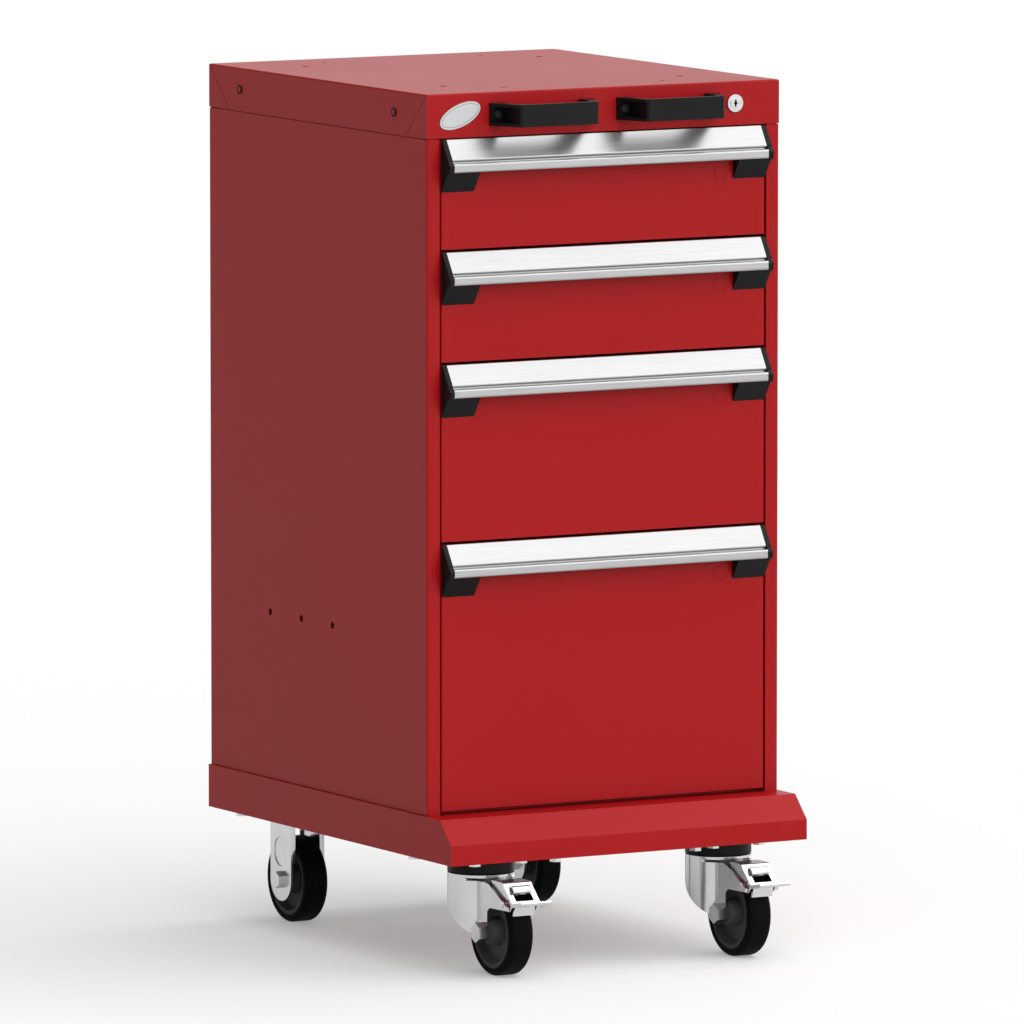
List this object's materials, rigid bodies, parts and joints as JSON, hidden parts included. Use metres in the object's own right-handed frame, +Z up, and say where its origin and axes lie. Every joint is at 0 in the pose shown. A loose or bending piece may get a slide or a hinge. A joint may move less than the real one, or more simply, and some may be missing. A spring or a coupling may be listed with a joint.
{
  "type": "mobile drawer cabinet",
  "caption": "Mobile steel tool cabinet with four locking drawers, two push handles and braked swivel casters.",
  "frame": {"origin": "on the floor, under the middle of the whole outline", "axes": "+Z up, front of the drawers towards -Y, +X to the right seen from the front"},
  "size_m": [0.463, 0.643, 0.995],
  "materials": {
    "red_paint": "fine powder coat",
    "zinc_steel": "bright zinc plate",
    "slide_steel": "plain zinc plate",
    "aluminium": "brushed",
    "black_plastic": "moulded",
    "chrome": "polished",
    "badge_grey": "printed plate",
    "tyre": "smooth rubber",
    "core_grey": "moulded"
  },
  "bodies": {
    "root": {"top_cover": "red_paint", "cover_screws": "zinc_steel", "side_panel_left": "red_paint", "side_panel_right": "red_paint", "back_panel": "red_paint", "bottom_panel": "red_paint", "slide_uprights": "slide_steel", "cabinet_rails": "slide_steel", "push_handle_left": "black_plastic", "push_handle_right": "black_plastic", "badge": "badge_grey", "lock_housing": "chrome", "base_pan": "red_paint", "base_channels": "slide_steel", "base_bolts": "zinc_steel", "swivel_plates": "zinc_steel", "raceway_seals": "black_plastic", "rear_forks": "zinc_steel", "rear_axles": "zinc_steel"},
    "drawer_1": {"drawer_1_box": "red_paint", "drawer_1_front": "red_paint", "drawer_1_handle": "aluminium", "drawer_1_end_caps": "black_plastic", "drawer_1_rails": "slide_steel"},
    "slides_1": {"drawer_1_carriages": "slide_steel"},
    "drawer_2": {"drawer_2_box": "red_paint", "drawer_2_front": "red_paint", "drawer_2_handle": "aluminium", "drawer_2_end_caps": "black_plastic", "drawer_2_rails": "slide_steel"},
    "slides_2": {"drawer_2_carriages": "slide_steel"},
    "drawer_3": {"drawer_3_box": "red_paint", "drawer_3_front": "red_paint", "drawer_3_handle": "aluminium", "drawer_3_end_caps": "black_plastic", "drawer_3_rails": "slide_steel"},
    "slides_3": {"drawer_3_carriages": "slide_steel"},
    "drawer_4": {"drawer_4_box": "red_paint", "drawer_4_front": "red_paint", "drawer_4_handle": "aluminium", "drawer_4_end_caps": "black_plastic", "drawer_4_rails": "slide_steel"},
    "slides_4": {"drawer_4_carriages": "slide_steel"},
    "lock_key_plug": {"lock_plug": "chrome", "lock_cam": "slide_steel"},
    "lock_rod": {"lock_bar": "slide_steel"},
    "swivel_left": {"front_fork_left": "zinc_steel", "front_axle_left": "zinc_steel"},
    "pedal_left": {"brake_pedal_left": "zinc_steel"},
    "front_wheel_left": {"front_tyre_left": "tyre", "front_wheel_core_left": "core_grey"},
    "rear_wheel_left": {"rear_tyre_left": "tyre", "rear_wheel_core_left": "core_grey"},
    "swivel_right": {"front_fork_right": "zinc_steel", "front_axle_right": "zinc_steel"},
    "pedal_right": {"brake_pedal_right": "zinc_steel"},
    "front_wheel_right": {"front_tyre_right": "tyre", "front_wheel_core_right": "core_grey"},
    "rear_wheel_right": {"rear_tyre_right": "tyre", "rear_wheel_core_right": "core_grey"}
  },
  "joints": [
    {"name": "drawer_1_slide", "type": "slide", "parent": "root", "child": "drawer_1", "axis": [0, -1, 0], "range_m": [0, 0.45]},
    {"name": "slides_1_run", "type": "slide", "parent": "root", "child": "slides_1", "axis": [0, -1, 0], "range_m": [0, 0.225]},
    {"name": "drawer_2_slide", "type": "slide", "parent": "root", "child": "drawer_2", "axis": [0, -1, 0], "range_m": [0, 0.45]},
    {"name": "slides_2_run", "type": "slide", "parent": "root", "child": "slides_2", "axis": [0, -1, 0], "range_m": [0, 0.225]},
    {"name": "drawer_3_slide", "type": "slide", "parent": "root", "child": "drawer_3", "axis": [0, -1, 0], "range_m": [0, 0.45]},
    {"name": "slides_3_run", "type": "slide", "parent": "root", "child": "slides_3", "axis": [0, -1, 0], "range_m": [0, 0.225]},
    {"name": "drawer_4_slide", "type": "slide", "parent": "root", "child": "drawer_4", "axis": [0, -1, 0], "range_m": [0, 0.45]},
    {"name": "slides_4_run", "type": "slide", "parent": "root", "child": "slides_4", "axis": [0, -1, 0], "range_m": [0, 0.225]},
    {"name": "lock_turn", "type": "hinge", "parent": "root", "child": "lock_key_plug", "pos_m": [0.17, -0.19953, 0.97], "axis": [0, 1, 0], "range_deg": [0, 90]},
    {"name": "lock_bar_drop", "type": "slide", "parent": "root", "child": "lock_rod", "axis": [0, 0, -1], "range_m": [0, 0.01]},
    {"name": "caster_left_swivel", "type": "hinge", "parent": "root", "child": "swivel_left", "pos_m": [-0.155, -0.19153, 0.12], "axis": [0, 0, 1], "continuous": true},
    {"name": "brake_left", "type": "hinge", "parent": "swivel_left", "child": "pedal_left", "pos_m": [-0.155, -0.27947, 0.08648], "axis": [1, 0, 0], "range_deg": [0, 12]},
    {"name": "front_wheel_left_spin", "type": "hinge", "parent": "swivel_left", "child": "front_wheel_left", "pos_m": [-0.155, -0.23952, 0.05], "axis": [1, 0, 0], "continuous": true},
    {"name": "rear_wheel_left_spin", "type": "hinge", "parent": "root", "child": "rear_wheel_left", "pos_m": [-0.155, 0.24647, 0.05], "axis": [1, 0, 0], "continuous": true},
    {"name": "caster_right_swivel", "type": "hinge", "parent": "root", "child": "swivel_right", "pos_m": [0.155, -0.19153, 0.12], "axis": [0, 0, 1], "continuous": true},
    {"name": "brake_right", "type": "hinge", "parent": "swivel_right", "child": "pedal_right", "pos_m": [0.155, -0.27947, 0.08648], "axis": [1, 0, 0], "range_deg": [0, 12]},
    {"name": "front_wheel_right_spin", "type": "hinge", "parent": "swivel_right", "child": "front_wheel_right", "pos_m": [0.155, -0.23952, 0.05], "axis": [1, 0, 0], "continuous": true},
    {"name": "rear_wheel_right_spin", "type": "hinge", "parent": "root", "child": "rear_wheel_right", "pos_m": [0.155, 0.24647, 0.05], "axis": [1, 0, 0], "continuous": true}
  ],
  "couplings": [
    {"joint": "slides_1_run", "follows": "drawer_1_slide", "ratio": 0.5},
    {"joint": "slides_2_run", "follows": "drawer_2_slide", "ratio": 0.5},
    {"joint": "slides_3_run", "follows": "drawer_3_slide", "ratio": 0.5},
    {"joint": "slides_4_run", "follows": "drawer_4_slide", "ratio": 0.5},
    {"joint": "lock_turn", "follows": "lock_bar_drop", "rad_per_m": 157.08}
  ]
}
